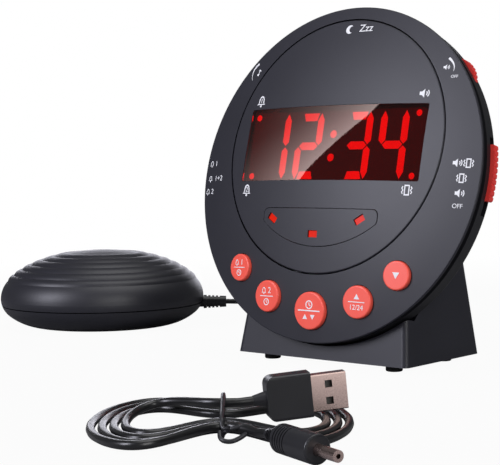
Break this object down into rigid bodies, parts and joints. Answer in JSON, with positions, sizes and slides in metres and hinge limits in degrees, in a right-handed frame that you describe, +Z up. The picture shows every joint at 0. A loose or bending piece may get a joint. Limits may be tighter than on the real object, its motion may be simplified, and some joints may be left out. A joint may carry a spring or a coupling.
{
  "type": "bed shaker alarm clock",
  "caption": "Round desk alarm clock on a wedge stand with a digital display, snooze face, buttons, sliders, a wired bed shaker puck and a tied USB power cord.",
  "frame": {"origin": "on the table under the middle of the stand's base, at the plane of the rubber feet", "axes": "+Z up, the clock face looks along -Y and leans back, +X to the right of the face"},
  "size_m": [0.3548, 0.3144, 0.1464],
  "materials": {
    "charcoal_shell": "fine satin",
    "black_base": "matt",
    "shaker_shell": "satin",
    "red_window": "polished tinted acrylic",
    "red_lens": "gloss translucent",
    "coral_button": "satin",
    "red_control": "satin",
    "lit_red": "diffused",
    "board": "solder mask",
    "steel": "plain",
    "plated": "nickel plated",
    "magnet": "ferrite",
    "cone_paper": "pressed paper",
    "rubber_black": "matt",
    "cord_black": "gloss flexible PVC",
    "plug_black": "moulded satin",
    "white_plastic": "plain"
  },
  "bodies": {
    "clock": {"front_cover": "charcoal_shell", "stand": "charcoal_shell", "base_plate": "black_base", "rear_housing": "black_base", "alarm_select_switch": "black_base", "alert_mode_switch": "black_base", "push_switches": "black_base", "battery_holder": "black_base", "volume_control": "black_base", "tone_control": "black_base", "led_display": "black_base", "motor_cradle": "black_base", "power_jack": "black_base", "shaker_jack": "black_base", "shaker_top": "shaker_shell", "shaker_base": "shaker_shell", "lit_segments": "lit_red", "alert_leds": "lit_red", "main_board": "board", "snooze_hinge_pin": "steel", "clock_screws": "steel", "backup_cell": "steel", "shaker_motor": "steel", "motor_clamp": "steel", "shaker_screws": "steel", "jack_nuts": "steel", "speaker_frame": "steel", "usb_plug_shell": "plated", "dc_plug_barrel": "plated", "shaker_plug_pin": "plated", "speaker_magnet": "magnet", "rubber_feet": "rubber_black", "shaker_strain_relief": "rubber_black", "shaker_cord_run": "cord_black", "shaker_cord_coil": "cord_black", "shaker_cord_tail": "cord_black", "power_cord_hank": "cord_black", "power_cord_usb_tail": "cord_black", "power_cord_dc_tail": "cord_black", "usb_plug_grip": "plug_black", "dc_plug_grip": "plug_black", "shaker_plug_grip": "plug_black", "power_cord_tie": "plug_black", "shaker_coil_tie": "plug_black", "usb_plug_tongue": "white_plastic"},
    "alarm_1_button": {"alarm_1_button": "coral_button"},
    "alarm_2_button": {"alarm_2_button": "coral_button"},
    "time_button": {"time_button": "coral_button"},
    "up_button": {"up_button": "coral_button"},
    "down_button": {"down_button": "coral_button"},
    "volume_wheel": {"volume_wheel": "red_control"},
    "tone_wheel": {"tone_wheel": "red_control"},
    "alert_mode_slider": {"alert_mode_slider": "red_control"},
    "alarm_select_slider": {"alarm_select_slider": "red_control"},
    "eccentric_weight": {"eccentric_weight": "steel"},
    "speaker_cone": {"speaker_cone": "cone_paper"},
    "snooze_plate": {"snooze_plate": "charcoal_shell", "display_window": "red_window", "alert_light_panel": "charcoal_shell", "alert_light_lenses": "red_lens"}
  },
  "joints": [
    {"name": "alarm_1_button_press", "type": "slide", "parent": "clock", "child": "alarm_1_button", "axis": [0.112, 0.987, -0.1151], "range_m": [0, 0.001], "stiffness_N_per_m": 1200},
    {"name": "alarm_2_button_press", "type": "slide", "parent": "clock", "child": "alarm_2_button", "axis": [0.0643, 0.9944, -0.0842], "range_m": [0, 0.001], "stiffness_N_per_m": 1200},
    {"name": "time_button_press", "type": "slide", "parent": "clock", "child": "time_button", "axis": [-0.0006, 0.9975, -0.0713], "range_m": [0, 0.001], "stiffness_N_per_m": 1200},
    {"name": "up_button_press", "type": "slide", "parent": "clock", "child": "up_button", "axis": [-0.0648, 0.9943, -0.0845], "range_m": [0, 0.001], "stiffness_N_per_m": 1200},
    {"name": "down_button_press", "type": "slide", "parent": "clock", "child": "down_button", "axis": [-0.1124, 0.9869, -0.1155], "range_m": [0, 0.001], "stiffness_N_per_m": 1200},
    {"name": "snooze_press", "type": "hinge", "parent": "clock", "child": "snooze_plate", "pos_m": [0, -0.02142, 0.04229], "axis": [-1, 0, 0], "range_deg": [0, 0.7], "stiffness_Nm_per_rad": 12},
    {"name": "volume_wheel_turn", "type": "hinge", "parent": "clock", "child": "volume_wheel", "pos_m": [0.04697, 0.0006, 0.11311], "axis": [0, -0.9728, 0.2317], "range_deg": [-135, 135]},
    {"name": "tone_wheel_turn", "type": "hinge", "parent": "clock", "child": "tone_wheel", "pos_m": [-0.04697, 0.0006, 0.11311], "axis": [0, -0.9728, 0.2317], "range_deg": [-135, 135]},
    {"name": "alert_mode_slide", "type": "hinge", "parent": "clock", "child": "alert_mode_slider", "pos_m": [0, -0.0079, 0.07659], "axis": [0, -0.9728, 0.2317], "range_deg": [-4.4, 2.2]},
    {"name": "alarm_select_slide", "type": "hinge", "parent": "clock", "child": "alarm_select_slider", "pos_m": [0, -0.0079, 0.07659], "axis": [0, -0.9728, 0.2317], "range_deg": [-2.6, 2.6]},
    {"name": "shaker_motor_spin", "type": "hinge", "parent": "clock", "child": "eccentric_weight", "pos_m": [-0.17569, 0.02957, 0.0175], "axis": [0.7581, 0.6521, 0], "continuous": true},
    {"name": "speaker_cone_move", "type": "slide", "parent": "clock", "child": "speaker_cone", "axis": [0, -0.9728, 0.2317], "range_m": [-0.0005, 0.0005], "stiffness_N_per_m": 1500}
  ]
}
